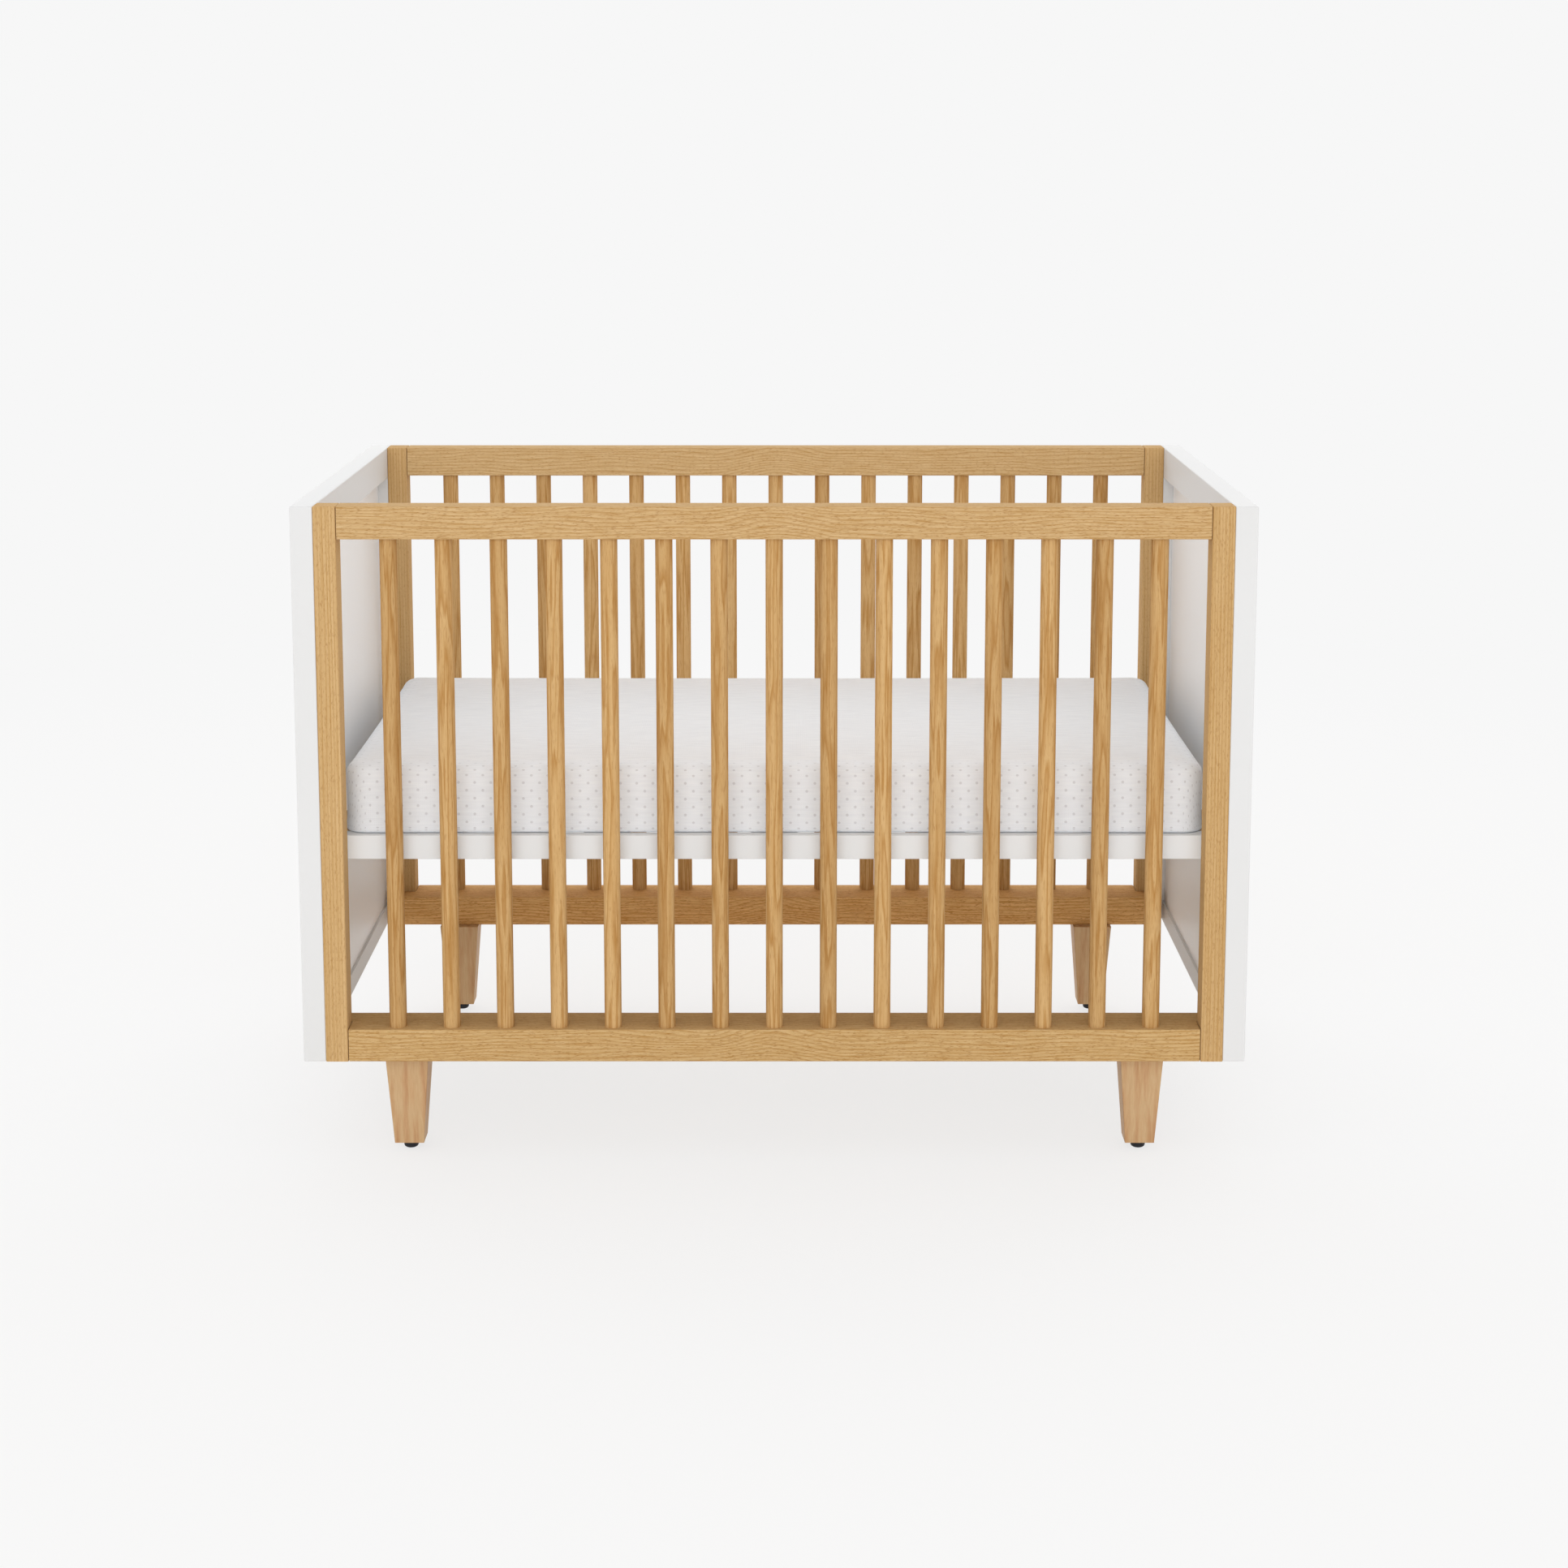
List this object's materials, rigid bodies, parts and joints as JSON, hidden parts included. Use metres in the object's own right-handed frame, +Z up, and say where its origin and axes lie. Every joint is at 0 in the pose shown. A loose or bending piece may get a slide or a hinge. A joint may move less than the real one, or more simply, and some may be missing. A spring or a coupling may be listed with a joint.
{
  "type": "baby crib",
  "caption": "Baby crib with slatted oak sides, white panelled ends, short tapered legs on levelling feet, and a mattress on a base that bolts to the posts at several heights.",
  "frame": {"origin": "on the floor, under the middle of the crib", "axes": "+X along the crib to the right as seen from the front, +Y from the front to the rear, +Z up"},
  "size_m": [1.396, 0.793, 0.986],
  "materials": {
    "oak": "clear satin lacquer",
    "leg_wood": "clear satin lacquer",
    "white_lacquer": "white satin lacquer",
    "base_slat_wood": "sanded beech",
    "foot_plastic": "matt",
    "steel": "zinc plated",
    "insert_brass": "machined",
    "sheet_fabric": "white cotton fitted sheet with a small grey print"
  },
  "bodies": {
    "crib_frame": {"corner_bolts": "steel", "front_bottom_rail": "oak", "front_left_leg": "leg_wood", "front_left_post": "oak", "front_right_leg": "leg_wood", "front_right_post": "oak", "front_slat_01": "oak", "front_slat_02": "oak", "front_slat_03": "oak", "front_slat_04": "oak", "front_slat_05": "oak", "front_slat_06": "oak", "front_slat_07": "oak", "front_slat_08": "oak", "front_slat_09": "oak", "front_slat_10": "oak", "front_slat_11": "oak", "front_slat_12": "oak", "front_slat_13": "oak", "front_slat_14": "oak", "front_slat_15": "oak", "front_top_rail": "oak", "height_inserts": "insert_brass", "left_end_frame": "white_lacquer", "left_inset_panel": "white_lacquer", "leg_bolts": "steel", "rear_bottom_rail": "oak", "rear_left_leg": "leg_wood", "rear_left_post": "oak", "rear_right_leg": "leg_wood", "rear_right_post": "oak", "rear_slat_01": "oak", "rear_slat_02": "oak", "rear_slat_03": "oak", "rear_slat_04": "oak", "rear_slat_05": "oak", "rear_slat_06": "oak", "rear_slat_07": "oak", "rear_slat_08": "oak", "rear_slat_09": "oak", "rear_slat_10": "oak", "rear_slat_11": "oak", "rear_slat_12": "oak", "rear_slat_13": "oak", "rear_slat_14": "oak", "rear_slat_15": "oak", "rear_top_rail": "oak", "right_end_frame": "white_lacquer", "right_inset_panel": "white_lacquer"},
    "mattress_base": {"base_bolts": "steel", "base_front_rail": "white_lacquer", "base_left_rail": "white_lacquer", "base_rear_rail": "white_lacquer", "base_right_rail": "white_lacquer", "base_slats": "base_slat_wood"},
    "mattress": {"mattress": "sheet_fabric"},
    "front_left_foot": {"front_left_foot": "foot_plastic"},
    "front_right_foot": {"front_right_foot": "foot_plastic"},
    "rear_left_foot": {"rear_left_foot": "foot_plastic"},
    "rear_right_foot": {"rear_right_foot": "foot_plastic"}
  },
  "joints": [
    {"name": "base_height", "type": "slide", "parent": "crib_frame", "child": "mattress_base", "axis": [0, 0, 1], "range_m": [-0.168, 0]},
    {"name": "mattress_lift", "type": "slide", "parent": "mattress_base", "child": "mattress", "axis": [0, 0, 1], "range_m": [0, 0.5]},
    {"name": "front_left_foot_level", "type": "slide", "parent": "crib_frame", "child": "front_left_foot", "axis": [0, 0, 1], "range_m": [-0.012, 0]},
    {"name": "front_right_foot_level", "type": "slide", "parent": "crib_frame", "child": "front_right_foot", "axis": [0, 0, 1], "range_m": [-0.012, 0]},
    {"name": "rear_left_foot_level", "type": "slide", "parent": "crib_frame", "child": "rear_left_foot", "axis": [0, 0, 1], "range_m": [-0.012, 0]},
    {"name": "rear_right_foot_level", "type": "slide", "parent": "crib_frame", "child": "rear_right_foot", "axis": [0, 0, 1], "range_m": [-0.012, 0]}
  ]
}
